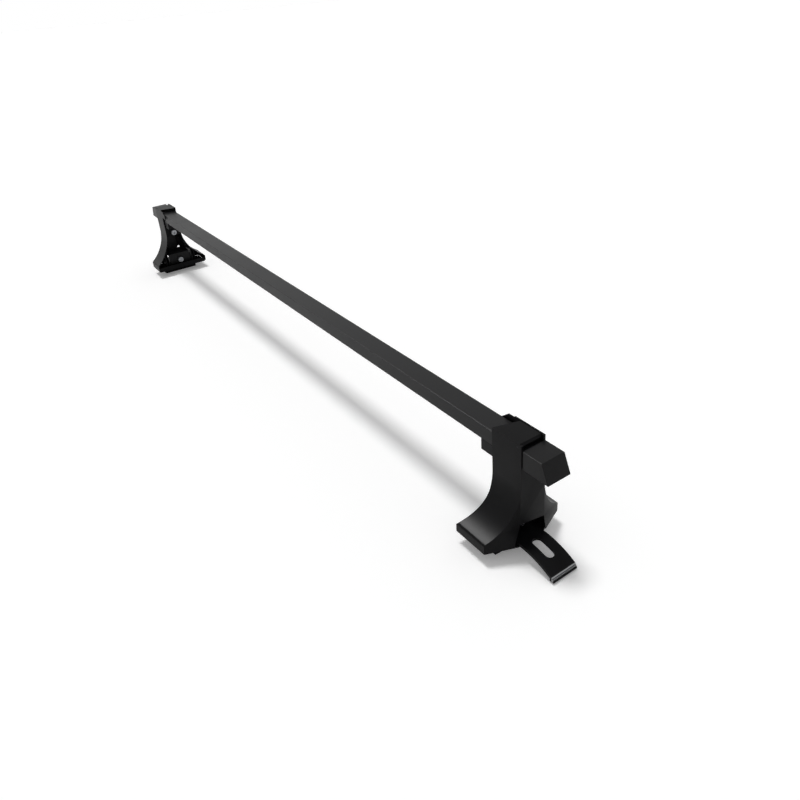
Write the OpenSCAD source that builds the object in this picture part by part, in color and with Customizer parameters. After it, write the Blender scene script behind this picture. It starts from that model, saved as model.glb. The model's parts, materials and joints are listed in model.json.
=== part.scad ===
// Roof rack crossbar: a rectangular steel bar on two moulded towers.
// Each tower stands on a rubber foot and pulls a curved hook inwards under a door frame.
// X runs along the bar, Y across it and Z up; the floor is z = 0, under the bar's middle.

/* [Bar] */
// Width of the bar across the car's travel
bar_w = 30; // [26:1:32]
// Height of the bar's section
bar_h = 20; // [16:1:24]
// Wall of the bar's tube
bar_wall = 1.6; // [1.2:0.1:2.5]
// Underside of the bar above the surface it stands on
bar_lift = 132; // [124:1:150]
// Distance between the middles of the two towers
tower_spacing = 1264; // [800:4:1500]

/* [End caps] */
// Length of the tube held inside each end cap
cap_grip = 24; // [16:1:40]
// Wall of the end caps
cap_wall = 2; // [1.2:0.1:2.6]
// How far the cap's nose stands out past the tube at the top
cap_nose = 5; // [3:0.5:10]
// How much further the nose reaches at the bottom than at the top
cap_rake = 10; // [0:1:16]

/* [Tower] */
// Depth of the tower along the bar, at the top
tower_d = 48; // [44:1:56]
// Width of the tower's trunk, from the bar down to where the flanks spread
trunk_w = 36.4; // [36.4:0.2:42]
// Where the flanks begin to spread, below the underside of the bar
waist_drop = 30; // [20:1:36]
// Width of the tower's base
base_w = 120; // [104:1:130]
// How far the base spreads towards the middle of the bar
base_spread = 20; // [12:1:26]
// How far the base's outer corners are set back
corner_back = 17; // [8:1:20]
// Height of the upright band round the rim
rim_band = 9; // [6:1:14]
// Radius of the shoulder above the band
shoulder_r = 8; // [4:1:12]
// Rim of the base above the surface it stands on
rim_lift = 17; // [15:0.5:20]
// Wall of the moulded tower
shell_wall = 2.2; // [1.8:0.1:2.4]
// Wall of the trunk beside the bar
trunk_wall = 1.6; // [1.2:0.1:1.6]
// Rise of the tower's side walls above the bar
wall_rise = 8.5; // [8:0.5:12]
// Length of the finger that carries one side wall on along the bar
finger_len = 22; // [12:1:26]

/* [Cover] */
// Length of the cover on top of each tower
cover_len = 46; // [38:1:48]
// Wall of the cover
cover_wall = 2; // [1.6:0.1:2.4]
// Diameter of the pin the cover swings on
cover_pin_d = 2.5; // [2:0.1:3]

/* [Steel frame] */
// Thickness of the folded steel frame
frame_t = 2.5; // [2:0.1:3]
// Width of the frame where it passes the waist
frame_w = 24; // [18:0.5:25]
// Width of the frame's lip that carries the tension bolt
lip_w = 52; // [46:1:54]
// Thickness of the steel strap over the bar
strap_t = 1.2; // [0.8:0.1:1.2]
// Length of the strap along the bar
strap_len = 32; // [20:1:32]
// Length of the wedge under the bar
wedge_len = 66; // [58:1:68]

/* [Hook] */
// Width of the hook
hook_w = 38; // [34:1:42]
// Thickness of the hook
hook_t = 4; // [3:0.1:4.5]
// Reach of the hook's tip from the middle of the tower
hook_reach = 77; // [70:1:82]
// Width of the slot in the hook
slot_w = 13; // [8:0.5:14]
// Length of the slot in the hook
slot_len = 31; // [20:1:34]

/* [Bolts] */
// Thread diameter of both bolts
bolt_d = 8; // [6:0.5:8]
// Height of the tension bolt above the rim
tension_up = 15; // [14:0.5:16]
// Clamp bolt below the underside of the bar
clamp_drop = 30; // [28:0.5:31]

/* [Rubber foot] */
// Width of the rubber foot
foot_w = 80; // [72:1:100]
// Length of the rubber foot along the bar
foot_len = 24; // [20:1:30]
// Thickness of the foot's flange, which closes the base from below
flange_t = 2.4; // [1.6:0.1:3]

/* [Hidden] */
$fn = 64;

// Gap between pieces that move past each other
gap = 0.3;
// How far a cutting shape runs past the face it cuts
over = 2;
// Space between the bar's sides and what stands beside them
side_fit = 0.15;

tower_x = tower_spacing / 2;
bar_top = bar_lift + bar_h;
head_z = bar_top + wall_rise;
trunk_half = trunk_w / 2;
base_half = base_w / 2;
rim_top = rim_lift + rim_band;
inner_u = -tower_d / 2;
outer_u = tower_d / 2;
base_u = inner_u - base_spread;

// The flank is one arc from the trunk, upright at its top, down to the shoulder's tangent point
waist_z = bar_lift - waist_drop;
flank_in = base_half - shoulder_r - trunk_half;
flank_down = waist_z - rim_top;
flank_r = (flank_in * flank_in + flank_down * flank_down - shoulder_r * shoulder_r)
    / (2 * (flank_in + shoulder_r));
flank_y = trunk_half + flank_r;
tangent = shoulder_r / (flank_r + shoulder_r);
shoulder_y = base_half - shoulder_r;
shoulder_start = shoulder_y + tangent * (flank_y - shoulder_y);
shoulder_over = 0.3;

// The base flares towards the middle of the bar on an arc that ends short of upright
flare_drop = 27;
flare_step = 2;
flare_top = waist_z - flare_drop;
flare_end = rim_top + flare_step;
flare_down = flare_top - flare_end;
flare_bend = 1.15;
flare_r = flare_bend * (base_spread * base_spread + flare_down * flare_down) / (2 * base_spread);
flare_chord = sqrt(base_spread * base_spread + flare_down * flare_down);
flare_sag = sqrt(flare_r * flare_r - flare_chord * flare_chord / 4);
flare_u = inner_u - base_spread / 2 - flare_sag * flare_down / flare_chord;
flare_z = flare_top - flare_down / 2 + flare_sag * base_spread / flare_chord;

// Inside of the tower's head, between its side walls
head_in = trunk_half - trunk_wall;

// Opening in the base that the hook comes out of, wider at its foot and lower on one side at its top
mouth_room = 7;
mouth_rise = 34;
mouth_tilt = 7;
mouth_side = hook_w / 2 + mouth_room;
mouth_top_side = hook_w / 2;
mouth_high = rim_lift + mouth_rise;
mouth_low = mouth_high - mouth_tilt;

// End caps, each with a plug inside the tube
plug_len = 14;
plug_gap = 0.2;
plug_wall = 1.8;
tube_end = outer_u + 2 * gap + cap_grip;
bar_len = 2 * (tower_x + tube_end);
cap_fit = 0.15;
cap_out_w = bar_w + 2 * (cap_fit + cap_wall);
cap_z0 = bar_lift - cap_fit - cap_wall;
cap_z1 = bar_top + cap_fit + cap_wall;
cap_start = outer_u + 2 * gap;

// Wedge and its sloping seat, which falls towards the end of the bar
seat_slope = 4;
seat_drop = 11.8;
seat_mid = bar_lift - seat_drop;
wedge_top = bar_lift - gap;
wedge_block = 15;
wedge_travel = 3;
wedge_out = outer_u - shell_wall - wedge_travel - gap;
wedge_in = wedge_out - wedge_len;
frame_out = wedge_out - 1;
frame_in = inner_u + shell_wall;
web_top = seat_at(inner_u) - gap;

// Clamp bolt, along the bar under the wedge, and the wedge's lug that holds its nut
clamp_z = bar_lift - clamp_drop;
clamp_land = 9;
web_foot = clamp_z - clamp_land;
lug_back = 6;
lug_u = frame_in + frame_t + lug_back;
lug_t = 12;
lug_w = 17;
lug_floor = 3;
lug_land = 8;

// Bolts and washers
head_d = 1.6 * bolt_d;
head_h = 0.7 * bolt_d;
socket_d = 0.8 * bolt_d;
washer_d = 2 * bolt_d;
washer_t = 1.6;
nut_w = 1.6 * bolt_d;
nut_t = 0.8 * bolt_d;
bolt_clear = 0.3;
thread_fit = 0.05;
bolt_spare = 3;

// Hook: a flat run under the base, a tab for the tension bolt and a curved grip
hook_z = rim_lift;
hook_mid = hook_z + hook_t / 2;
hook_slack = 6;
tab_back = 14;
tab_rise = 2;
tab_u = inner_u + tab_back;
grip_back = 2;
grip_u = outer_u + grip_back;
tip_mid = 6.4;
guard_foot = 2.2;
grip_run = hook_reach - hook_t / 2 - grip_u;
grip_drop = hook_mid - tip_mid;
grip_r = (grip_run * grip_run + grip_drop * grip_drop) / (2 * grip_drop);
grip_angle = asin(grip_run / grip_r);
guard_t = 1.2;
guard_grip = 1.2;
slot_back = 3;
slot_u = outer_u + slot_back + slot_w / 2;
tension_z = rim_lift + tension_up;

// Rubber foot, whose two blocks reach up past the rim
foot_back = 20;
block_rise = 6;
foot_room = 4;
foot_out = outer_u - foot_back;
foot_in = foot_out - foot_len;
foot_mid_top = hook_z - 2 * gap;
foot_block_top = rim_lift + block_rise;
foot_hollow = hook_w + 2 * foot_room;

// Ribs inside the base, and the band that closes its inner side at the foot
rib_t = 2;
rib_back = 8;
inner_band = 8;

// Lower lip of the frame, which the tension bolt pulls against
lip_out = 6;
shelf_rise = 14;
lip_u = inner_u - lip_out;
shelf_z = tension_z + shelf_rise;

// Cover, with its pin near its outer end
cover_back = 3;
cover_out = outer_u - cover_back;
cover_in = cover_out - cover_len;
cover_half = head_in - gap;
cover_top = head_z - 2 * gap;
cover_foot = bar_top + strap_t + 3 * gap;
cover_slant = 11;
cover_chamfer = 2.4;
pin_back = 3.6;
pin_drop = 3.4;
pin_fit = 0.05;
pin_u = cover_out - pin_back;
pin_z = cover_top - pin_drop;

// Outer end of the strap, clear of the cover as it swings
strap_back = 6.4;
strap_out = pin_u - strap_back;
strap_in = strap_out - strap_len;

black = "#262628";
steel = "#b9bcc0";
rubber = "#1b1b1c";

module at_right() {
    translate([tower_x, 0, 0]) children();
}

module at_left() {
    rotate([0, 0, 180]) translate([tower_x, 0, 0]) children();
}

// A flat outline drawn in (y, z), made solid from x = a to x = b
module along_x(a, b) {
    translate([a, 0, 0]) rotate([90, 0, 90]) linear_extrude(b - a) children();
}

// A flat outline drawn in (x, z), made solid over a width centred on y = 0
module along_y(w) {
    translate([0, w / 2, 0]) rotate([90, 0, 0]) linear_extrude(w) children();
}

module block(x0, x1, y0, y1, z0, z1) {
    translate([x0, y0, z0]) cube([x1 - x0, y1 - y0, z1 - z0]);
}

// A round bar or bore along X
module rod(x0, x1, y, z, d) {
    translate([x0, y, z]) rotate([0, 90, 0]) cylinder(d = d, h = x1 - x0);
}

// Bar

module crossbar_tube() {
    color(black) difference() {
        block(-bar_len / 2, bar_len / 2, -bar_w / 2, bar_w / 2, bar_lift, bar_top);
        block(-bar_len / 2 - over, bar_len / 2 + over, -bar_w / 2 + bar_wall, bar_w / 2 - bar_wall,
            bar_lift + bar_wall, bar_top - bar_wall);
    }
}

// A sleeve over the tube with a raked nose and a plug that grips inside the tube
module end_cap() {
    nose_top = tube_end + cap_nose;
    color(black) difference() {
        union() {
            difference() {
                along_y(cap_out_w) polygon([[cap_start, cap_z0], [nose_top + cap_rake, cap_z0],
                    [nose_top, cap_z1], [cap_start, cap_z1]]);
                block(cap_start - over, tube_end, -bar_w / 2 - cap_fit, bar_w / 2 + cap_fit,
                    bar_lift - cap_fit, bar_top + cap_fit);
            }
            block(tube_end - plug_len, tube_end + 1, -bar_w / 2 + bar_wall + plug_gap, bar_w / 2 - bar_wall - plug_gap,
                bar_lift + bar_wall + plug_gap, bar_top - bar_wall - plug_gap);
        }
        block(tube_end - plug_len - over, tube_end + 1, -bar_w / 2 + bar_wall + plug_gap + plug_wall,
            bar_w / 2 - bar_wall - plug_gap - plug_wall,
            bar_lift + bar_wall + plug_gap + plug_wall, bar_top - bar_wall - plug_gap - plug_wall);
    }
}

// Moulded tower

// The tower seen along the bar; skin is how far the outline is drawn in, side how far the trunk is
module front_outline(skin, side) {
    half = base_half - skin;
    tall = head_z - rim_lift + 2 * over;
    difference() {
        translate([-half, rim_lift - over]) square([2 * half, tall]);
        for (s = [-1, 1]) {
            // flank, up to the waist
            intersection() {
                translate([s * flank_y, waist_z]) circle(r = flank_r + skin, $fn = 128);
                translate([-base_w, waist_z - tall]) square([2 * base_w, tall]);
            }
            // beside the trunk
            translate([s * (trunk_half - side + base_half) - base_half, waist_z]) square([2 * base_half, tall]);
            // outside the rounded shoulder
            difference() {
                translate([s * (shoulder_start + base_half) - base_half, rim_top])
                    square([2 * base_half, waist_z - rim_top]);
                translate([s * shoulder_y, rim_top]) circle(r = shoulder_r + shoulder_over - skin);
            }
        }
    }
}

// The tower seen from above; the outer face is a middle panel between two that are set back
module plan_outline(skin) {
    panel = hook_w / 2;
    slope = atan2(corner_back, base_half - panel);
    back = skin / cos(slope);
    far = base_half + over;
    far_u = outer_u - back - (far - panel) * tan(slope);
    polygon([[base_u - over, -far], [far_u, -far], [outer_u - back, -panel], [outer_u - back, panel],
        [far_u, far], [base_u - over, far]]);
}

// The tower seen from the side: upright outside, flared at the foot of the inside
module side_outline() {
    difference() {
        translate([base_u, rim_lift]) square([outer_u - base_u, head_z - rim_lift]);
        translate([base_u - over, flare_top])
            square([base_spread + over, head_z - flare_top + over]);
        intersection() {
            translate([flare_u, flare_z]) circle(r = flare_r, $fn = 128);
            translate([base_u - over, rim_top]) square([base_spread + 2 * over, flare_top - rim_top]);
        }
    }
}

module tower_body() {
    intersection() {
        along_x(base_u - over, outer_u + over) front_outline(0, 0);
        along_y(2 * base_w) side_outline();
        translate([0, 0, rim_lift]) linear_extrude(head_z - rim_lift) plan_outline(0);
    }
}

module tower_hollow() {
    intersection() {
        along_x(base_u - 2 * over, outer_u) front_outline(shell_wall, trunk_wall);
        translate([0, 0, rim_lift - over]) linear_extrude(head_z - rim_lift + 2 * over)
            plan_outline(shell_wall);
    }
}

module tower_shell() {
    color(black) difference() {
        union() {
            difference() {
                tower_body();
                tower_hollow();
            }
            inner_web();
            inner_rim();
            guide_finger();
            for (side = [-1, 1]) foot_ribs(side);
        }
        // mouth for the hook, through the outer panel and the rim
        along_x(outer_u - 2 * shell_wall, outer_u + over)
            polygon([[-mouth_side, rim_lift - over], [mouth_side, rim_lift - over],
                [mouth_top_side, mouth_low], [-mouth_top_side, mouth_high]]);
        // way for the bar through the outer panel
        block(outer_u - 2 * shell_wall, outer_u + over, -bar_w / 2 - side_fit, bar_w / 2 + side_fit,
            bar_lift - gap, head_z + over);
        translate([pin_u, 0, pin_z]) rotate([90, 0, 0])
            cylinder(d = cover_pin_d + 2 * pin_fit, h = trunk_w + over, center = true);
    }
}

// Closed part of the tower's inner side, which takes the clamp bolt
module inner_web() {
    difference() {
        intersection() {
            block(inner_u, inner_u + shell_wall, -base_half, base_half, web_foot, web_top);
            along_x(base_u - over, outer_u + over) front_outline(shell_wall / 2, trunk_wall / 2);
        }
        rod(inner_u - over, inner_u + shell_wall + over, 0, clamp_z, bolt_d + 2 * bolt_clear);
    }
}

// Low band that closes the base's inner side between its flanks
module inner_rim() {
    intersection() {
        block(base_u, base_u + shell_wall, -base_half, base_half, rim_lift, rim_lift + inner_band);
        along_x(base_u - over, outer_u + over) front_outline(shell_wall / 2, trunk_wall / 2);
    }
}

// Finger that carries one side wall on along the bar, with a sloping end
module guide_finger() {
    low = bar_lift + bar_h / 2;
    step = 2;
    translate([0, trunk_half, 0]) rotate([90, 0, 0]) linear_extrude(trunk_wall)
        polygon([[inner_u + over, low], [inner_u - finger_len, low], [inner_u - finger_len, bar_top - step],
            [inner_u - finger_len / 2, head_z - step], [inner_u + over, head_z - step]]);
}

// Ribs inside the flared base that stand on the rubber foot
module foot_ribs(side) {
    for (y = [foot_w / 2 - 2 * rib_t, lip_w / 2 + 2 * rib_t])
        intersection() {
            translate([0, side * y, 0]) block(base_u + rib_back, outer_u, -rib_t / 2, rib_t / 2, foot_block_top, waist_z);
            along_x(base_u - over, outer_u + over) front_outline(shell_wall / 2, trunk_wall / 2);
            along_y(2 * base_w) side_outline();
            translate([0, 0, rim_lift]) linear_extrude(head_z - rim_lift) plan_outline(shell_wall / 2);
        }
}

// Steel frame

// Height of the sloping seat's top at a place along the bar
function seat_at(u) = seat_mid - u * tan(seat_slope);

// One folded strip: inner tab, sloping seat, back web, shelf and lower lip
module tower_frame() {
    seat_in = seat_at(frame_in);
    seat_out = seat_at(frame_out);
    seat_w = bar_w + 2 * side_fit;
    color(black) difference() {
        union() {
            // seat
            along_y(seat_w) polygon([[frame_in, seat_in], [frame_out, seat_out],
                [frame_out, seat_out - frame_t], [frame_in, seat_in - frame_t]]);
            // inner tab
            block(frame_in, frame_in + frame_t, -frame_w / 2, frame_w / 2, web_foot + 1, seat_in - frame_t / 2);
            // back web
            block(frame_out - frame_t, frame_out, -frame_w / 2, frame_w / 2, shelf_z, seat_out - frame_t / 2);
            // shelf
            block(lip_u, frame_out, -lip_w / 2, lip_w / 2, shelf_z, shelf_z + frame_t);
            // lower lip
            block(lip_u, lip_u + frame_t, -lip_w / 2, lip_w / 2, foot_block_top, shelf_z + frame_t);
        }
        // slot in the seat that the wedge's lug slides in
        block(lug_u - 2 * gap, lug_u + lug_t + wedge_travel + 2 * gap, -lug_w / 2 - gap, lug_w / 2 + gap,
            web_foot, seat_in + over);
        rod(frame_in - over, frame_in + frame_t + over, 0, clamp_z, bolt_d + 2 * bolt_clear);
        rod(lip_u - over, lip_u + frame_t + over, 0, tension_z, bolt_d + 2 * bolt_clear);
    }
}

// Dipped steel strap over the bar, welded to the edges of the frame's seat
module bar_strap() {
    inside = bar_w / 2 + side_fit;
    foot = seat_mid - frame_t + gap;
    color(rubber) difference() {
        block(strap_in, strap_out, -inside - strap_t, inside + strap_t, foot, bar_top + gap + strap_t);
        block(strap_in - over, strap_out + over, -inside, inside, foot - over, bar_top + gap);
    }
}

// Wedge under the bar, with a lug that holds the clamp nut
module bar_wedge() {
    rest = gap / 2;
    shoulder = inner_u - wedge_travel - gap;
    color(black) difference() {
        union() {
            along_y(bar_w) polygon([[wedge_in, wedge_top], [wedge_out, wedge_top],
                [wedge_out, seat_at(wedge_out) + rest], [shoulder, seat_at(shoulder) + rest],
                [shoulder, wedge_top - wedge_block], [wedge_in, wedge_top - wedge_block]]);
            block(lug_u, lug_u + lug_t, -lug_w / 2, lug_w / 2, clamp_z - lug_land, wedge_top - over);
        }
        rod(lug_u - over, lug_u + lug_t + over, 0, clamp_z, bolt_d + 2 * bolt_clear);
        block(lug_u + lug_floor, lug_u + lug_t + over, -nut_w / 2 - side_fit, nut_w / 2 + side_fit,
            clamp_z - nut_w / 2 - 2 * gap, clamp_z + nut_w / 2 + 2 * gap);
    }
}

// Bolts, washers and nuts

// Socket-head bolt along X whose head bears against a face at x = seat_x
module bolt(seat_x, end_x, z) {
    color(steel) difference() {
        union() {
            rod(seat_x - head_h, seat_x, 0, z, head_d);
            rod(seat_x - over, end_x, 0, z, bolt_d);
        }
        translate([seat_x - head_h - over, 0, z]) rotate([0, 90, 0])
            cylinder(d = socket_d, h = over + head_h * 0.6, $fn = 6);
    }
}

module washer(x, z) {
    color(steel) difference() {
        rod(x, x + washer_t, 0, z, washer_d);
        rod(x - over, x + washer_t + over, 0, z, bolt_d + 2 * bolt_clear);
    }
}

module square_nut(x, z) {
    color(steel) difference() {
        block(x, x + nut_t, -nut_w / 2, nut_w / 2, z - nut_w / 2, z + nut_w / 2);
        rod(x - over, x + nut_t + over, 0, z, bolt_d + 2 * thread_fit);
    }
}

module clamp_bolt() {
    bolt(inner_u - washer_t, lug_u + lug_t + wedge_travel + bolt_spare, clamp_z);
}

module clamp_washer() {
    washer(inner_u - washer_t, clamp_z);
}

module clamp_nut() {
    square_nut(lug_u + lug_floor + gap / 2, clamp_z);
}

module tension_bolt() {
    bolt(lip_u - washer_t, tab_u + hook_t + nut_t + hook_slack + bolt_spare, tension_z);
}

module tension_washer() {
    washer(lip_u - washer_t, tension_z);
}

module tension_nut() {
    square_nut(tab_u + hook_t, tension_z);
}

// Hook and its rubber

// The hook from the side: tab, flat run, curved grip and a short lip at the tip
module hook_profile() {
    tab_top = tension_z + nut_w / 2 + tab_rise;
    translate([tab_u, hook_z]) square([hook_t, tab_top - hook_z]);
    translate([tab_u, hook_z]) square([grip_u - tab_u, hook_t]);
    intersection() {
        translate([grip_u, hook_mid - grip_r]) difference() {
            circle(r = grip_r + hook_t / 2, $fn = 128);
            circle(r = grip_r - hook_t / 2, $fn = 128);
        }
        polygon([[grip_u, hook_mid - grip_r], [grip_u, hook_z + hook_t + over],
            [grip_u + 2 * grip_r * sin(grip_angle), hook_mid - grip_r + 2 * grip_r * cos(grip_angle)]]);
    }
    translate([hook_reach - hook_t, guard_foot + guard_t]) square([hook_t, tip_mid - guard_foot - guard_t]);
}

module clamp_hook() {
    slot_run = slot_len - slot_w;
    color(black) difference() {
        along_y(hook_w) hook_profile();
        block(slot_u, slot_u + slot_run, -slot_w / 2, slot_w / 2, 0, hook_z + hook_t + over);
        for (u = [slot_u, slot_u + slot_run])
            translate([u, 0, 0]) cylinder(d = slot_w, h = hook_z + hook_t + over);
        rod(tab_u - over, tab_u + hook_t + over, 0, tension_z, bolt_d + 2 * bolt_clear);
    }
}

// Rubber edge pushed over the hook's lip
module hook_guard() {
    color(rubber) difference() {
        block(hook_reach - hook_t - guard_t, hook_reach + guard_t, -hook_w / 2, hook_w / 2,
            guard_foot, guard_foot + guard_t + guard_grip);
        block(hook_reach - hook_t, hook_reach, -hook_w / 2 - over, hook_w / 2 + over,
            guard_foot + guard_t, tip_mid);
    }
}

// Rubber foot: a slab under the hook's run, two blocks that carry the tower's ribs and a thin flange
module foot_pad() {
    flange_half = base_half - shell_wall;
    color(rubber) difference() {
        union() {
            block(foot_in, foot_out, -foot_w / 2, foot_w / 2, 0, foot_block_top);
            intersection() {
                translate([0, 0, foot_mid_top - flange_t]) linear_extrude(flange_t) plan_outline(shell_wall);
                block(base_u + shell_wall, outer_u, -flange_half, flange_half, 0, rim_lift);
            }
        }
        block(foot_in - over, foot_out + over, -foot_hollow / 2, foot_hollow / 2,
            foot_mid_top, foot_block_top + over);
    }
}

// Cover over the strap, hinged at its outer end

module cover_plan(skin) {
    polygon([[cover_in + skin, -cover_half + skin], [cover_out - skin, -cover_half + skin],
        [cover_out - skin, cover_half - skin], [cover_in + cover_slant + skin, cover_half - skin]]);
}

module top_cover() {
    color(black) difference() {
        intersection() {
            translate([0, 0, cover_foot]) linear_extrude(cover_top - cover_foot) cover_plan(0);
            along_y(2 * trunk_w) polygon([[cover_in - over, cover_foot], [cover_in - over, cover_top],
                [cover_out - cover_chamfer, cover_top], [cover_out, cover_top - cover_chamfer],
                [cover_out, cover_foot + cover_chamfer / 2], [cover_out - cover_chamfer / 2, cover_foot]]);
        }
        intersection() {
            translate([0, 0, cover_foot - over]) linear_extrude(cover_top - cover_foot + over - cover_wall)
                cover_plan(cover_wall);
            block(cover_in, pin_u - pin_back, -trunk_w, trunk_w, cover_foot - over, cover_top);
        }
        translate([pin_u, 0, pin_z]) rotate([90, 0, 0])
            cylinder(d = cover_pin_d + 2 * pin_fit, h = 2 * trunk_w, center = true);
    }
}

module cover_pin() {
    color(steel) translate([pin_u, 0, pin_z]) rotate([90, 0, 0])
        cylinder(d = cover_pin_d, h = trunk_w - 2 * side_fit, center = true);
}

crossbar_tube();
at_right() end_cap();  // right_end_cap
at_left() end_cap();  // left_end_cap
at_right() tower_shell();  // right_tower_shell
at_right() tower_frame();  // right_tower_frame
at_right() bar_strap();  // right_bar_strap
at_right() bar_wedge();  // right_bar_wedge
at_right() clamp_bolt();  // right_clamp_bolt
at_right() clamp_washer();  // right_clamp_washer
at_right() clamp_nut();  // right_clamp_nut
at_right() top_cover();  // right_top_cover
at_right() cover_pin();  // right_cover_pin
at_right() foot_pad();  // right_foot_pad
at_right() clamp_hook();  // right_clamp_hook
at_right() hook_guard();  // right_hook_guard
at_right() tension_bolt();  // right_tension_bolt
at_right() tension_washer();  // right_tension_washer
at_right() tension_nut();  // right_tension_nut
at_left() tower_shell();  // left_tower_shell
at_left() tower_frame();  // left_tower_frame
at_left() bar_strap();  // left_bar_strap
at_left() bar_wedge();  // left_bar_wedge
at_left() clamp_bolt();  // left_clamp_bolt
at_left() clamp_washer();  // left_clamp_washer
at_left() clamp_nut();  // left_clamp_nut
at_left() top_cover();  // left_top_cover
at_left() cover_pin();  // left_cover_pin
at_left() foot_pad();  // left_foot_pad
at_left() clamp_hook();  // left_clamp_hook
at_left() hook_guard();  // left_hook_guard
at_left() tension_bolt();  // left_tension_bolt
at_left() tension_washer();  // left_tension_washer
at_left() tension_nut();  // left_tension_nut
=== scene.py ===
"""Dresses the roof rack crossbar: moulded towers, coated steel bar and hooks, rubber feet, plain studio."""
import json
import math

import bmesh
import bpy
from mathutils import Matrix, Vector

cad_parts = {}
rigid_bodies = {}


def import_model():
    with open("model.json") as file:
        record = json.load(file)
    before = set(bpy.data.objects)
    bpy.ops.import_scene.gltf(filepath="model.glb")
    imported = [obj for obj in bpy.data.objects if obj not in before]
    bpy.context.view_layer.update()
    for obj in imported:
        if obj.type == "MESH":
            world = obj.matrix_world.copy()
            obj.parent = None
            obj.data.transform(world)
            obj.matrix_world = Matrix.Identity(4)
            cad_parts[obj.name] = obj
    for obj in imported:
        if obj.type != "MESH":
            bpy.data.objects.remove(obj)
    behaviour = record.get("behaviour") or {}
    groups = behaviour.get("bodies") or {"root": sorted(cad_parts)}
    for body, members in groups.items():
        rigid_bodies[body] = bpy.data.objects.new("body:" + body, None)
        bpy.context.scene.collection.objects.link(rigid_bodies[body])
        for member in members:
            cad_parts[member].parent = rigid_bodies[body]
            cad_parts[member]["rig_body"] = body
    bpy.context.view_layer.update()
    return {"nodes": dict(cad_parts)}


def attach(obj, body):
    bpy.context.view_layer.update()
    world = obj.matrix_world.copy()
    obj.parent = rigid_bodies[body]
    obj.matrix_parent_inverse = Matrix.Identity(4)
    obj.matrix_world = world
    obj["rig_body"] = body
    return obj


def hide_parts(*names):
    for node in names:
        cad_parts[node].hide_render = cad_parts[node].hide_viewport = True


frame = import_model()

bl_info = {
    "name": "Roof Rack Crossbar",
    "version": (1, 0, 0),
    "blender": (4, 5, 0),
    "location": "3D View > Sidebar > Crossbar",
    "description": "Builds the dressed model of a clamp-on roof rack crossbar",
    "category": "Object",
}

SIDES = ("right", "left")

# Photograph's frame, its focal length and its optical middle, in pixels
PHOTO_PIXELS = 800
FOCAL_PIXELS = 693.7
MIDDLE_X = 400
MIDDLE_Y = 340

# Place of the camera in metres, and its yaw, pitch and roll in degrees
CAMERA_PLACE = (1.1036, -0.4462, 0.6157)
CAMERA_TURN = (147.553, 27.297, -4.738)

# Light: the world's own strength, the key lamp and the card's lamp, each with its strength,
# its spread in degrees, its direction and whether it lights dull surfaces, and the floor's lift
WORLD_LIGHT = 0.4
LAMPS = {
    "key_light": (1.5, 14, (-0.25, -0.05, 1), True),
    "card_light": (6.5, 20, (-0.55, -0.42, 0.72), False),
}
FLOOR_LIFT = 0.16
WHITE = "#ffffff"

# Bare steel along the hook's tip, in metres, and how far its edge wanders
TIP_BARE = 0.0022
TIP_WANDER = 0.0006

# How near to a surface a vertex counts as lying on it, in metres
SURFACE_NEAR = 0.0001

# Gap between the foot's flange and the tower's rim that the dressed foot closes, in metres
RIM_GAP = 0.001

# Depth of the finishes' fine grain, and how near two vertices are joined, in metres
GRAIN_DEPTH = 0.0002
WELD = 1e-6

# Largest bend between two triangles of one flat face, in degrees
FLAT_ANGLE = 1

# Half the floor's side in metres, and the camera's sensor in millimetres
FLOOR_HALF = 30.0
SENSOR_WIDTH = 36.0


# Helpers


def srgb(hex_colour):
    """Linear colour with alpha from an sRGB hex value."""
    digits = hex_colour.lstrip("#")
    channels = [int(digits[i:i + 2], 16) / 255 for i in (0, 2, 4)]
    return (*(c / 12.92 if c <= 0.04045 else ((c + 0.055) / 1.055) ** 2.4 for c in channels), 1.0)


def tree_node(tree, kind, links=None, **settings):
    """Adds a node; settings name its properties or inputs, links name inputs and what feeds them."""
    node = tree.nodes.new(kind)
    for name, value in settings.items():
        if name in node.bl_rna.properties:
            setattr(node, name, value)
        else:
            node.inputs[name.replace("_", " ")].default_value = value
    for name, socket in (links or {}).items():
        tree.links.new(socket, node.inputs[name])
    return node


def add_node(material, kind, links=None, **settings):
    """Adds a node to the tree of a material or a world."""
    return tree_node(material.node_tree, kind, links, **settings)


def new_material(name):
    """A material with only a Principled shader, its output and Object coordinates."""
    material = bpy.data.materials.new(name)
    material.use_nodes = True
    material.node_tree.nodes.clear()
    shader = add_node(material, "ShaderNodeBsdfPrincipled")
    add_node(material, "ShaderNodeOutputMaterial", {"Surface": shader.outputs["BSDF"]})
    coords = add_node(material, "ShaderNodeTexCoord").outputs["Object"]
    return material, shader, coords


def scale_for(size_mm):
    """Noise scale, in repeats per metre, for a feature of a given size."""
    return 1000.0 / size_mm


# Materials


def toned(material, factor, dark, light):
    """A colour that drifts between two tones."""
    tone = add_node(material, "ShaderNodeMix", {"Factor": factor}, data_type="RGBA")
    tone.inputs["A"].default_value = srgb(dark)
    tone.inputs["B"].default_value = srgb(light)
    return tone.outputs["Result"]


def ranged(material, value, low, high):
    """A number that drifts between two limits."""
    spread = add_node(material, "ShaderNodeMapRange", {"Value": value})
    spread.inputs["To Min"].default_value = low
    spread.inputs["To Max"].default_value = high
    return spread.outputs["Result"]


def feed(material, shader, **sockets):
    """Links outputs to the shader's inputs by name."""
    for name, socket in sockets.items():
        material.node_tree.links.new(socket, shader.inputs[name.replace("_", " ")])


def grained(material, texture, strength):
    """A surface normal with the fine relief of the texture."""
    bump = add_node(material, "ShaderNodeBump", {"Height": texture.outputs["Fac"]},
                    Strength=strength, Distance=GRAIN_DEPTH)
    return bump.outputs["Normal"]


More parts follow.
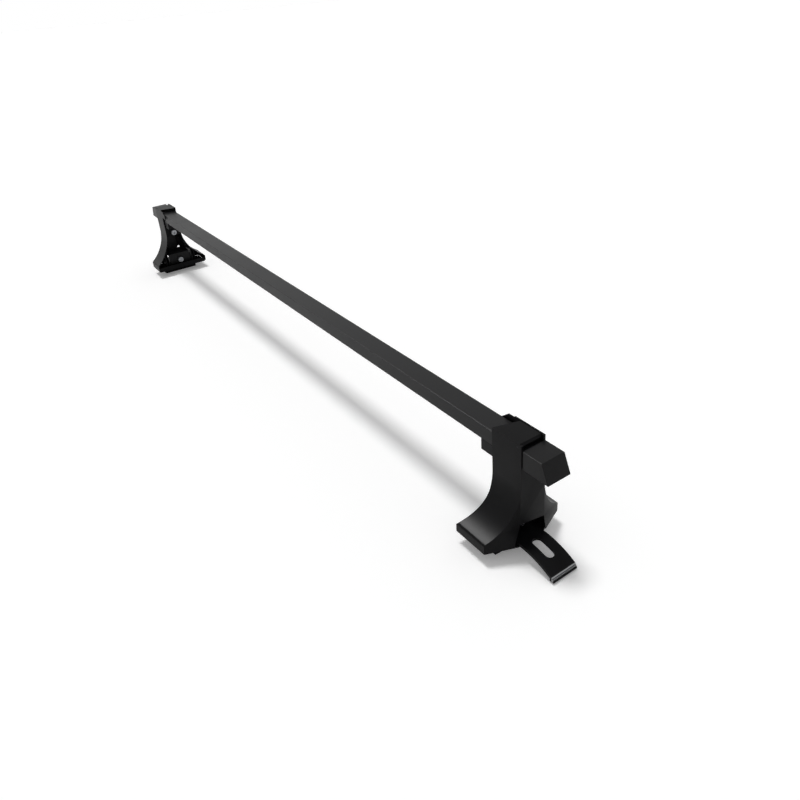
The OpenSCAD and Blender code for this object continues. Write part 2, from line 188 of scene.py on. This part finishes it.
def powder_coat(name, gloss):
    """Powder-coated steel: satin black, with a soft orange peel that breaks up the highlights."""
    material, shader, coords = new_material(name)
    size = bpy.context.scene.crossbar_finish
    peel = add_node(material, "ShaderNodeTexNoise", {"Vector": coords}, Scale=scale_for(1.6), Detail=3.0)
    drift = add_node(material, "ShaderNodeTexNoise", {"Vector": coords}, Scale=scale_for(90), Detail=2.0)
    normal = grained(material, peel, 0.12)
    colour = toned(material, drift.outputs["Fac"], size.coat_dark, size.coat_light)
    rough = ranged(material, drift.outputs["Fac"], 0.32, 0.44)
    feed(material, shader, Base_Color=colour, Roughness=rough, Normal=normal)
    shader.inputs["IOR"].default_value = 1.5
    shader.inputs["Specular IOR Level"].default_value = gloss
    return material, shader, coords, colour, rough


def coated_steel():
    """The plain coat of the tube and the folded frame."""
    return powder_coat("Powder Coated Steel", 0.12)[0]


def worn_coated_steel():
    """The hook's coat, rubbed through to bare steel along the edge of its tip."""
    material, shader, coords, colour, rough = powder_coat("Rubbed Powder Coated Steel", 0.05)
    wander = add_node(material, "ShaderNodeTexNoise", {"Vector": coords}, Scale=scale_for(4), Detail=3.0)
    along = add_node(material, "ShaderNodeSeparateXYZ", {"Vector": coords})
    away = add_node(material, "ShaderNodeMath", {0: along.outputs["X"]}, operation="ABSOLUTE")
    ragged = add_node(material, "ShaderNodeMath", {0: wander.outputs["Fac"], 2: away.outputs["Value"]},
                      operation="MULTIPLY_ADD")
    ragged.inputs[1].default_value = TIP_WANDER
    tip = node_box("right_clamp_hook")[1][0]
    bare = add_node(material, "ShaderNodeMapRange", {"Value": ragged.outputs["Value"]})
    bare.inputs["From Min"].default_value = tip - TIP_BARE
    bare.inputs["From Max"].default_value = tip - TIP_BARE + TIP_WANDER
    metal = add_node(material, "ShaderNodeMix", {"Factor": bare.outputs["Result"], "A": colour},
                     data_type="RGBA")
    metal.inputs["B"].default_value = srgb("#8a8b8c")
    worn = add_node(material, "ShaderNodeMix", {"Factor": bare.outputs["Result"], "A": rough},
                    data_type="FLOAT")
    worn.inputs["B"].default_value = 0.36
    feed(material, shader, Base_Color=metal.outputs["Result"], Roughness=worn.outputs["Result"],
         Metallic=bare.outputs["Result"])
    return material


def moulding(name, gloss):
    """Moulded ABS or polypropylene: near black, with the fine spark-eroded grain of the mould."""
    material, shader, coords = new_material(name)
    size = bpy.context.scene.crossbar_finish
    grain = add_node(material, "ShaderNodeTexNoise", {"Vector": coords}, Scale=scale_for(0.9), Detail=4.0)
    drift = add_node(material, "ShaderNodeTexNoise", {"Vector": coords}, Scale=scale_for(40), Detail=2.0)
    normal = grained(material, grain, 0.2)
    colour = toned(material, drift.outputs["Fac"], size.moulding_dark, size.moulding_light)
    feed(material, shader, Base_Color=colour, Normal=normal,
         Roughness=ranged(material, grain.outputs["Fac"], 0.3, 0.42))
    shader.inputs["IOR"].default_value = 1.53
    shader.inputs["Specular IOR Level"].default_value = gloss
    return material


def moulded_nylon():
    """Glass-filled nylon: dark grey, duller than the housing, with a faint flow mottle."""
    material, shader, coords = new_material("Glass Filled Nylon")
    flow = add_node(material, "ShaderNodeTexNoise", {"Vector": coords}, Scale=scale_for(5), Detail=5.0)
    normal = grained(material, flow, 0.15)
    feed(material, shader, Base_Color=toned(material, flow.outputs["Fac"], "#121213", "#1c1c1e"),
         Normal=normal)
    shader.inputs["Roughness"].default_value = 0.6
    shader.inputs["Specular IOR Level"].default_value = 0.1
    return material


def soft_black(name):
    """Moulded rubber, and the strap's deep black that stands in for the shade in the recess under the cover's
    inner end: deep black and matt, with a fine bloom.
    """
    material, shader, coords = new_material(name)
    bloom = add_node(material, "ShaderNodeTexNoise", {"Vector": coords}, Scale=scale_for(1.2), Detail=5.0)
    normal = grained(material, bloom, 0.3)
    feed(material, shader, Base_Color=toned(material, bloom.outputs["Fac"], "#0c0c0c", "#151516"),
         Normal=normal)
    shader.inputs["Roughness"].default_value = 0.8
    shader.inputs["Specular IOR Level"].default_value = 0.1
    return material


def zinc_fastener():
    """Zinc-plated steel: grey metal with a fine crystalline mottle from the plating bath."""
    material, shader, coords = new_material("Bright Zinc Fastener")
    mottle = add_node(material, "ShaderNodeTexNoise", {"Vector": coords}, Scale=scale_for(2.5), Detail=6.0)
    feed(material, shader, Base_Color=toned(material, mottle.outputs["Fac"], "#74767a", "#999b9e"),
         Roughness=ranged(material, mottle.outputs["Fac"], 0.22, 0.36))
    shader.inputs["Metallic"].default_value = 1.0
    return material


def finish(name):
    """The material of that finish, made on its first use."""
    makers = {
        "Powder Coated Steel": coated_steel,
        "Rubbed Powder Coated Steel": worn_coated_steel,
        "Moulded ABS": lambda: moulding("Moulded ABS", 0.05),
        "Moulded Polypropylene": lambda: moulding("Moulded Polypropylene", 0.1),
        "Glass Filled Nylon": moulded_nylon,
        "Moulded EPDM Rubber": lambda: soft_black("Moulded EPDM Rubber"),
        # The strap's deep black is painted shade: it stands in for the shade in the recess under the cover's
        # inner end.
        "Painted Shade Black Steel": lambda: soft_black("Painted Shade Black Steel"),
        "Bright Zinc Fastener": zinc_fastener,
    }
    return bpy.data.materials.get(name) or makers[name]()


def dress(obj, name):
    """Gives an object one material over its whole surface."""
    obj.data.materials.clear()
    obj.data.materials.append(finish(name))


# Shapes


def node_copy(node, name):
    """A new object with the node's mesh, its loose triangles joined into clean faces."""
    source = frame["nodes"][node]
    mesh = bmesh.new()
    mesh.from_mesh(source.data)
    bmesh.ops.remove_doubles(mesh, verts=mesh.verts, dist=WELD)
    bmesh.ops.dissolve_limit(mesh, angle_limit=math.radians(FLAT_ANGLE), verts=mesh.verts, edges=mesh.edges)
    data = bpy.data.meshes.new(name)
    mesh.to_mesh(data)
    mesh.free()
    piece = bpy.data.objects.new(name, data)
    bpy.context.scene.collection.objects.link(piece)
    data.polygons.foreach_set("use_smooth", [True] * len(data.polygons))
    return piece


def round_edges(piece, edge_mm, segments=3, angle=28):
    """A bevel on every corner sharper than the angle, with normals that keep the broad faces flat."""
    bevel = piece.modifiers.new("Rounded Edges", "BEVEL")
    bevel.width = edge_mm / 1000
    bevel.segments = segments
    bevel.limit_method = "ANGLE"
    bevel.angle_limit = math.radians(angle)
    weighted = piece.modifiers.new("Flat Faces", "WEIGHTED_NORMAL")
    weighted.keep_sharp = True


def stand_in(piece, node):
    """Lets the piece ride on the node's body and take the node's place."""
    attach(piece, frame["nodes"][node]["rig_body"])
    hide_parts(node)


def softened(node, edge_mm, name, material):
    """A copy of a rigid node with its corners rounded, standing in for the node."""
    piece = node_copy(node, name)
    round_edges(piece, edge_mm)
    dress(piece, material)
    stand_in(piece, node)


def new_tree(name, inputs):
    """A Geometry Nodes tree with its own inputs; returns the tree and its input node."""
    tree = bpy.data.node_groups.new(name, "GeometryNodeTree")
    tree.interface.new_socket("Geometry", in_out="INPUT", socket_type="NodeSocketGeometry")
    for label, kind in inputs.items():
        tree.interface.new_socket(label, in_out="INPUT", socket_type=kind)
    tree.interface.new_socket("Geometry", in_out="OUTPUT", socket_type="NodeSocketGeometry")
    return tree, tree.nodes.new("NodeGroupInput")


def end_tree(tree, given, parts):
    """Joins the parts to the given mesh, makes the instances real and sets the material."""
    join = tree.nodes.new("GeometryNodeJoinGeometry")
    tree.links.new(given.outputs["Geometry"], join.inputs["Geometry"])
    for part in parts:
        tree.links.new(part, join.inputs["Geometry"])
    real = tree_node(tree, "GeometryNodeRealizeInstances", {"Geometry": join.outputs["Geometry"]})
    coat = tree_node(tree, "GeometryNodeSetMaterial",
                     {"Geometry": real.outputs["Geometry"], "Material": given.outputs["Material"]})
    tree_node(tree, "NodeGroupOutput", {"Geometry": coat.outputs["Geometry"]})
    return tree


def thread_and_knurl():
    """Rings along the shank at the thread's pitch, and fine ribs round the head."""
    floats = ("Thread Start", "Pitch", "Root Radius", "Ridge", "Axis Height", "Head Middle", "Head Length",
              "Head Radius", "Rib Radius")
    tree, given = new_tree("Thread and Knurl", {
        **{label: "NodeSocketFloat" for label in floats},
        "Turns": "NodeSocketInt", "Ribs": "NodeSocketInt", "Material": "NodeSocketMaterial"})
    value = given.outputs
    quarter = (0, math.pi / 2, 0)
    start = tree_node(tree, "ShaderNodeCombineXYZ", {"X": value["Thread Start"], "Z": value["Axis Height"]})
    step = tree_node(tree, "ShaderNodeCombineXYZ", {"X": value["Pitch"]})
    line = tree_node(tree, "GeometryNodeMeshLine", {
        "Count": value["Turns"], "Start Location": start.outputs["Vector"], "Offset": step.outputs["Vector"]})
    circle = tree_node(tree, "GeometryNodeCurvePrimitiveCircle", {"Radius": value["Root Radius"]},
                       Resolution=32)
    upright = tree_node(tree, "GeometryNodeTransform", {"Geometry": circle.outputs["Curve"]},
                        Rotation=quarter)
    ridge = tree_node(tree, "GeometryNodeCurvePrimitiveCircle", {"Radius": value["Ridge"]}, Resolution=4)
    ring = tree_node(tree, "GeometryNodeCurveToMesh", {
        "Curve": upright.outputs["Geometry"], "Profile Curve": ridge.outputs["Curve"]})
    rings = tree_node(tree, "GeometryNodeInstanceOnPoints", {
        "Points": line.outputs["Mesh"], "Instance": ring.outputs["Mesh"]})
    around = tree_node(tree, "GeometryNodeMeshCircle", {
        "Vertices": value["Ribs"], "Radius": value["Head Radius"]})
    head = tree_node(tree, "ShaderNodeCombineXYZ", {"X": value["Head Middle"], "Z": value["Axis Height"]})
    placed = tree_node(tree, "GeometryNodeTransform", {
        "Geometry": around.outputs["Mesh"], "Translation": head.outputs["Vector"]}, Rotation=quarter)
    rod = tree_node(tree, "GeometryNodeMeshCylinder", {
        "Radius": value["Rib Radius"], "Depth": value["Head Length"]}, Vertices=8)
    along = tree_node(tree, "GeometryNodeTransform", {"Geometry": rod.outputs["Mesh"]}, Rotation=quarter)
    ribs = tree_node(tree, "GeometryNodeInstanceOnPoints", {
        "Points": placed.outputs["Geometry"], "Instance": along.outputs["Geometry"]})
    return end_tree(tree, given, (rings.outputs["Instances"], ribs.outputs["Instances"]))


def foot_ribs():
    """Level ribs round the rubber foot, one above the other."""
    floats = ("Length", "Width", "Corner", "Rib Radius", "First Height", "Spacing", "Middle")
    tree, given = new_tree("Foot Ribs", {
        **{label: "NodeSocketFloat" for label in floats},
        "Count": "NodeSocketInt", "Material": "NodeSocketMaterial"})
    value = given.outputs
    start = tree_node(tree, "ShaderNodeCombineXYZ", {"X": value["Middle"], "Z": value["First Height"]})
    step = tree_node(tree, "ShaderNodeCombineXYZ", {"Z": value["Spacing"]})
    line = tree_node(tree, "GeometryNodeMeshLine", {
        "Count": value["Count"], "Start Location": start.outputs["Vector"], "Offset": step.outputs["Vector"]})
    outline = tree_node(tree, "GeometryNodeCurvePrimitiveQuadrilateral", {
        "Width": value["Length"], "Height": value["Width"]})
    corner = tree_node(tree, "GeometryNodeFilletCurve", {
        "Curve": outline.outputs["Curve"], "Radius": value["Corner"]}, mode="POLY", Count=6)
    bead = tree_node(tree, "GeometryNodeCurvePrimitiveCircle", {"Radius": value["Rib Radius"]}, Resolution=10)
    rib = tree_node(tree, "GeometryNodeCurveToMesh", {
        "Curve": corner.outputs["Curve"], "Profile Curve": bead.outputs["Curve"]})
    ribs = tree_node(tree, "GeometryNodeInstanceOnPoints", {
        "Points": line.outputs["Mesh"], "Instance": rib.outputs["Mesh"]})
    return end_tree(tree, given, (ribs.outputs["Instances"],))


def grown(piece, tree, values):
    """Runs a Geometry Nodes tree on the piece with the given inputs and keeps the result as a plain mesh."""
    modifier = piece.modifiers.new(tree.name, "NODES")
    modifier.node_group = tree
    for item in tree.interface.items_tree:
        if item.in_out == "INPUT" and item.name in values:
            modifier[item.identifier] = values[item.name]
    evaluated = piece.evaluated_get(bpy.context.evaluated_depsgraph_get())
    old = piece.data
    piece.data = bpy.data.meshes.new_from_object(evaluated)
    piece.modifiers.clear()
    bpy.data.meshes.remove(old)
    return piece


def node_box(node):
    """Both corners of the node, in metres."""
    corners = [vertex.co for vertex in frame["nodes"][node].data.vertices]
    return tuple(tuple(pick(corner[axis] for corner in corners) for axis in range(3)) for pick in (min, max))


def threaded_bolt(node, name, tree):
    """A socket-head bolt: shank drawn in to the thread's root, thread rings and a knurled head."""
    sizes = bpy.context.scene.crossbar_fasteners
    low, high = node_box(node)
    side = 1 if high[0] > 0 else -1
    height = (low[2] + high[2]) / 2
    head_radius = (high[2] - low[2]) / 2
    shank = sizes.shank / 2000
    ridge = sizes.ridge / 1000
    knurl = sizes.knurl / 1000
    piece = node_copy(node, name)
    drawn_in = ((shank, shank - ridge), (head_radius, head_radius - knurl))
    for vertex in piece.data.vertices:
        radius = math.hypot(vertex.co.y, vertex.co.z - height)
        for surface, drawn in drawn_in:
            if abs(radius - surface) < SURFACE_NEAR:
                vertex.co.y *= drawn / surface
                vertex.co.z = height + (vertex.co.z - height) * drawn / surface
    round_edges(piece, sizes.head_edge)
    head_length = sizes.head * sizes.shank / 1000
    outer, inner = (low[0], high[0]) if side > 0 else (high[0], low[0])
    seat = outer + side * head_length
    turns = int((abs(inner - seat) - sizes.pitch / 1000) / (sizes.pitch / 1000))
    return grown(piece, tree, {
        "Thread Start": inner - side * sizes.pitch / 2000, "Pitch": -side * sizes.pitch / 1000,
        "Turns": turns,
        "Root Radius": shank - ridge, "Ridge": ridge, "Axis Height": height,
        "Head Middle": outer + side * head_length / 2,
        "Head Length": head_length - 2 * sizes.head_edge / 1000,
        "Head Radius": head_radius - knurl, "Rib Radius": knurl, "Ribs": sizes.ribs,
        "Material": finish("Bright Zinc Fastener")})


def ribbed_foot(node, name, tree):
    """The rubber foot: its block girdled by level ribs, its flange's corners up against the rim."""
    sizes = bpy.context.scene.crossbar_rubber
    rib = sizes.rib / 1000
    rim = node_box(node.replace("foot_pad", "tower_shell"))[0][2]
    piece = node_copy(node, name)
    sole = [vertex.co.copy() for vertex in piece.data.vertices if vertex.co.z < SURFACE_NEAR]
    low, high = ([pick(corner[axis] for corner in sole) for axis in (0, 1)] for pick in (min, max))
    for vertex in piece.data.vertices:
        if rim - RIM_GAP < vertex.co.z < rim and not low[1] < vertex.co.y < high[1]:
            vertex.co.z = rim - SURFACE_NEAR
        for axis in (0, 1):
            if abs(vertex.co[axis] - low[axis]) < SURFACE_NEAR:
                vertex.co[axis] += rib
            elif abs(vertex.co[axis] - high[axis]) < SURFACE_NEAR:
                vertex.co[axis] -= rib
    round_edges(piece, sizes.edge)
    return grown(piece, tree, {
        "Length": high[0] - low[0] - 2 * rib, "Width": high[1] - low[1] - 2 * rib,
        "Corner": sizes.corner / 1000,
        "Rib Radius": rib, "First Height": 1.5 * rib, "Spacing": sizes.spacing / 1000, "Count": sizes.count,
        "Middle": (low[0] + high[0]) / 2, "Material": finish("Moulded EPDM Rubber")})


# Sizes and colours


class CrossbarFinish(bpy.types.PropertyGroup):
    """Colours of the visible finishes."""
    coat_dark: bpy.props.StringProperty(
        name="Coat Dark", description="Darker tone of the powder coat, as an sRGB hex value",
        default="#0f0f10")
    coat_light: bpy.props.StringProperty(
        name="Coat Light", description="Lighter tone of the powder coat, as an sRGB hex value",
        default="#161617")
    moulding_dark: bpy.props.StringProperty(
        name="Moulding Dark", description="Darker tone of the mouldings, as an sRGB hex value",
        default="#0a0a0b")
    moulding_light: bpy.props.StringProperty(
        name="Moulding Light", description="Lighter tone of the mouldings, as an sRGB hex value",
        default="#111112")


class CrossbarEdges(bpy.types.PropertyGroup):
    """Rounding of the visible edges."""
    tower: bpy.props.FloatProperty(
        name="Tower Edge", description="Rounding of the tower's edges, in millimetres",
        default=0.9, min=0.1, max=1.1)
    cover: bpy.props.FloatProperty(
        name="Cover Edge", description="Rounding of the cover's edges, in millimetres",
        default=0.5, min=0.1, max=1.0)
    cap: bpy.props.FloatProperty(
        name="Cap Edge", description="Rounding of the end caps' edges, in millimetres",
        default=0.6, min=0.1, max=1.0)
    tube: bpy.props.FloatProperty(
        name="Tube Edge", description="Rounding of the tube's edges, in millimetres",
        default=1.5, min=0.1, max=2.5)
    hook: bpy.props.FloatProperty(
        name="Hook Edge", description="Rounding of the hook's edges, in millimetres",
        default=0.6, min=0.1, max=1.5)
    fitting: bpy.props.FloatProperty(
        name="Fitting Edge", description="Rounding of the small fittings, in millimetres",
        default=0.3, min=0.1, max=0.5)


class CrossbarFasteners(bpy.types.PropertyGroup):
    """Thread and knurl of the bolts."""
    shank: bpy.props.FloatProperty(
        name="Shank", description="Thread diameter, in millimetres", default=8.0, min=6.0, max=8.0)
    head: bpy.props.FloatProperty(
        name="Head Share", description="Height of the head as a share of the thread diameter",
        default=0.7, min=0.5, max=1)
    pitch: bpy.props.FloatProperty(
        name="Pitch", description="Thread pitch, in millimetres", default=1.25, min=0.8, max=2.0)
    ridge: bpy.props.FloatProperty(
        name="Ridge", description="Depth of the thread, in millimetres", default=0.55, min=0.2, max=0.8)
    knurl: bpy.props.FloatProperty(
        name="Knurl", description="Depth of the ribs round the head, in millimetres",
        default=0.25, min=0.1, max=0.5)
    ribs: bpy.props.IntProperty(
        name="Ribs", description="Number of ribs round the head", default=48, min=12, max=72)
    head_edge: bpy.props.FloatProperty(
        name="Head Edge", description="Rounding of the head, in millimetres",
        default=0.35, min=0.1, max=0.6)


class CrossbarRubber(bpy.types.PropertyGroup):
    """Ribs of the rubber foot."""
    rib: bpy.props.FloatProperty(
        name="Rib", description="Depth of a rib, in millimetres", default=1.3, min=0.2, max=1.5)
    spacing: bpy.props.FloatProperty(
        name="Spacing", description="From one rib to the next, in millimetres",
        default=3.4, min=1.5, max=6.0)
    count: bpy.props.IntProperty(name="Count", description="Number of ribs", default=4, min=1, max=6)
    corner: bpy.props.FloatProperty(
        name="Corner", description="Rounding of the foot's corners, in millimetres",
        default=5.0, min=0.5, max=6.0)
    edge: bpy.props.FloatProperty(
        name="Edge", description="Rounding of the foot's edges, in millimetres",
        default=0.4, min=0.1, max=1.0)


# Operators


class CROSSBAR_OT_bar(bpy.types.Operator):
    """Make the coated tube and its two end caps"""
    bl_idname = "crossbar.bar"
    bl_label = "Bar and End Caps"

    def execute(self, context):
        edges = context.scene.crossbar_edges
        softened("crossbar_tube", edges.tube, "coated_tube", "Powder Coated Steel")
        for side in SIDES:
            softened(side + "_end_cap", edges.cap, side + "_sleeve_cap", "Moulded Polypropylene")
        return {"FINISHED"}


class CROSSBAR_OT_towers(bpy.types.Operator):
    """Make the moulded towers and their covers"""
    bl_idname = "crossbar.towers"
    bl_label = "Towers and Covers"

    def execute(self, context):
        edges = context.scene.crossbar_edges
        for side in SIDES:
            softened(side + "_tower_shell", edges.tower, side + "_moulded_tower", "Moulded ABS")
            softened(side + "_top_cover", edges.cover, side + "_lift_cover", "Moulded ABS")
        return {"FINISHED"}


class CROSSBAR_OT_hooks(bpy.types.Operator):
    """Make the coated hooks and the rubber on their tips"""
    bl_idname = "crossbar.hooks"
    bl_label = "Hooks and Tip Guards"

    def execute(self, context):
        edges = context.scene.crossbar_edges
        for side in SIDES:
            softened(side + "_clamp_hook", edges.hook, side + "_door_hook", "Rubbed Powder Coated Steel")
            softened(side + "_hook_guard", edges.fitting, side + "_tip_guard", "Moulded EPDM Rubber")
        return {"FINISHED"}


class CROSSBAR_OT_fittings(bpy.types.Operator):
    """Make the frames, straps, wedges, washers, nuts and pins"""
    bl_idname = "crossbar.fittings"
    bl_label = "Frames, Wedges and Small Fittings"

    def execute(self, context):
        edge = context.scene.crossbar_edges.fitting
        for side in SIDES:
            for node, name, material in (
                ("tower_frame", "folded_frame", "Powder Coated Steel"),
                # The strap's deep matt black is painted shade: it darkens the recess under the cover's inner
                # end.
                ("bar_strap", "steel_strap", "Painted Shade Black Steel"),
                ("bar_wedge", "sliding_wedge", "Glass Filled Nylon"),
                ("clamp_washer", "upper_washer", "Powder Coated Steel"),
                ("clamp_nut", "upper_nut", "Bright Zinc Fastener"),
                ("tension_washer", "lower_washer", "Powder Coated Steel"),
                ("tension_nut", "lower_nut", "Bright Zinc Fastener"),
                ("cover_pin", "hinge_pin", "Powder Coated Steel"),
            ):
                softened(f"{side}_{node}", edge, f"{side}_{name}", material)
        return {"FINISHED"}


class CROSSBAR_OT_bolts(bpy.types.Operator):
    """Make the threaded bolts with their knurled heads"""
    bl_idname = "crossbar.bolts"
    bl_label = "Bolts"

    def execute(self, context):
        tree = thread_and_knurl()
        for side in SIDES:
            for node, name in (("clamp_bolt", "upper_bolt"), ("tension_bolt", "lower_bolt")):
                piece = threaded_bolt(f"{side}_{node}", f"{side}_{name}", tree)
                stand_in(piece, f"{side}_{node}")
        return {"FINISHED"}


class CROSSBAR_OT_feet(bpy.types.Operator):
    """Make the ribbed rubber feet"""
    bl_idname = "crossbar.feet"
    bl_label = "Rubber Feet"

    def execute(self, context):
        tree = foot_ribs()
        for side in SIDES:
            piece = ribbed_foot(f"{side}_foot_pad", f"{side}_rubber_foot", tree)
            stand_in(piece, f"{side}_foot_pad")
        return {"FINISHED"}


class CROSSBAR_OT_stage(bpy.types.Operator):
    """Make the floor, the lamps, the world and the camera"""
    bl_idname = "crossbar.stage"
    bl_label = "Stage"

    def execute(self, context):
        make_floor()
        make_world()
        make_lamps()
        make_camera()
        return {"FINISHED"}


# Stage


def white_to_camera(material):
    """One where the camera or a reflection looks, nought where light falls."""
    path = add_node(material, "ShaderNodeLightPath")
    seen = add_node(material, "ShaderNodeMath",
                    {0: path.outputs["Is Camera Ray"], 1: path.outputs["Is Glossy Ray"]}, operation="MAXIMUM")
    return add_node(material, "ShaderNodeMath",
                    {0: seen.outputs["Value"], 1: path.outputs["Is Transmission Ray"]}, operation="MAXIMUM")


def make_floor():
    """A white floor that keeps the object's soft shadow; a little of its white is added for the camera."""
    data = bpy.data.meshes.new("studio_floor")
    corners = [(x * FLOOR_HALF, y * FLOOR_HALF, 0) for x, y in ((-1, -1), (1, -1), (1, 1), (-1, 1))]
    data.from_pydata(corners, [], [(0, 1, 2, 3)])
    floor = bpy.data.objects.new("studio_floor", data)
    bpy.context.scene.collection.objects.link(floor)
    material = bpy.data.materials.new("White Floor")
    material.use_nodes = True
    material.node_tree.nodes.clear()
    paint = add_node(material, "ShaderNodeBsdfDiffuse", Color=srgb(WHITE))
    lift = add_node(material, "ShaderNodeMapRange", {"Value": white_to_camera(material).outputs["Value"]})
    lift.inputs["To Max"].default_value = FLOOR_LIFT
    glow = add_node(material, "ShaderNodeEmission", {"Strength": lift.outputs["Result"]}, Color=srgb(WHITE))
    both = add_node(material, "ShaderNodeAddShader", {0: paint.outputs["BSDF"], 1: glow.outputs["Emission"]})
    add_node(material, "ShaderNodeOutputMaterial", {"Surface": both.outputs["Shader"]})
    data.materials.append(material)


def make_world():
    """Plain soft light all round, and white to the camera and in reflections."""
    world = bpy.data.worlds.new("Studio")
    bpy.context.scene.world = world
    world.use_nodes = True
    world.node_tree.nodes.clear()
    strength = add_node(world, "ShaderNodeMapRange", {"Value": white_to_camera(world).outputs["Value"]})
    strength.inputs["To Min"].default_value = WORLD_LIGHT
    light = add_node(world, "ShaderNodeBackground", {"Strength": strength.outputs["Result"]},
                     Color=srgb(WHITE))
    add_node(world, "ShaderNodeOutputWorld", {"Surface": light.outputs["Background"]})


def make_lamps():
    """A key lamp overhead, and a soft card behind the near tower that shows only in its gloss."""
    for name, (strength, spread, place, dull) in LAMPS.items():
        data = bpy.data.lights.new(name, "SUN")
        data.energy = strength
        data.angle = math.radians(spread)
        lamp = bpy.data.objects.new(name, data)
        lamp.rotation_euler = Vector(place).to_track_quat("Z", "Y").to_euler()
        lamp.visible_diffuse = dull
        bpy.context.scene.collection.objects.link(lamp)


def make_camera():
    """The camera of the photograph: above the right end, looking back along the bar."""
    data = bpy.data.cameras.new("photo_camera")
    camera = bpy.data.objects.new("photo_camera", data)
    yaw, pitch, roll = map(math.radians, CAMERA_TURN)
    ahead = Vector((math.cos(pitch) * math.cos(yaw), math.cos(pitch) * math.sin(yaw), -math.sin(pitch)))
    level = Vector((math.sin(yaw), -math.cos(yaw), 0))
    upright = level.cross(ahead)
    right = level * math.cos(roll) + upright * math.sin(roll)
    up = upright * math.cos(roll) - level * math.sin(roll)
    camera.matrix_world = Matrix.Translation(CAMERA_PLACE) @ Matrix((right, up, -ahead)).transposed().to_4x4()
    data.sensor_width = SENSOR_WIDTH
    data.lens = FOCAL_PIXELS / PHOTO_PIXELS * data.sensor_width
    data.shift_x = 0.5 - MIDDLE_X / PHOTO_PIXELS
    data.shift_y = MIDDLE_Y / PHOTO_PIXELS - 0.5
    data.clip_start = 0.01
    data.clip_end = 100
    bpy.context.scene.collection.objects.link(camera)
    bpy.context.scene.camera = camera


class CROSSBAR_PT_panel(bpy.types.Panel):
    """Lists the steps that build the crossbar"""
    bl_idname = "CROSSBAR_PT_panel"
    bl_label = "Roof Rack Crossbar"
    bl_space_type = "VIEW_3D"
    bl_region_type = "UI"
    bl_category = "Crossbar"

    def draw(self, context):
        column = self.layout.column()
        for group in GROUPS:
            sizes = getattr(context.scene, group)
            for name in sizes.__annotations__:
                column.prop(sizes, name)
        for operator in OPERATORS:
            column.operator(operator.bl_idname)


OPERATORS = (CROSSBAR_OT_stage, CROSSBAR_OT_bar, CROSSBAR_OT_towers, CROSSBAR_OT_hooks, CROSSBAR_OT_fittings,
             CROSSBAR_OT_bolts, CROSSBAR_OT_feet)
GROUPS = {
    "crossbar_finish": CrossbarFinish,
    "crossbar_edges": CrossbarEdges,
    "crossbar_fasteners": CrossbarFasteners,
    "crossbar_rubber": CrossbarRubber,
}


def register():
    for cls in (*GROUPS.values(), *OPERATORS, CROSSBAR_PT_panel):
        bpy.utils.register_class(cls)
    for name, group in GROUPS.items():
        setattr(bpy.types.Scene, name, bpy.props.PointerProperty(type=group))


def unregister():
    for name in GROUPS:
        delattr(bpy.types.Scene, name)
    for cls in (CROSSBAR_PT_panel, *OPERATORS, *GROUPS.values()):
        bpy.utils.unregister_class(cls)


def main():
    """Builds the whole dressed model and its stage."""
    register()
    bpy.context.scene.view_settings.view_transform = "Standard"
    bpy.ops.crossbar.stage()
    bpy.ops.crossbar.bar()
    bpy.ops.crossbar.towers()
    bpy.ops.crossbar.hooks()
    bpy.ops.crossbar.fittings()
    bpy.ops.crossbar.bolts()
    bpy.ops.crossbar.feet()


if __name__ == "__main__":
    main()
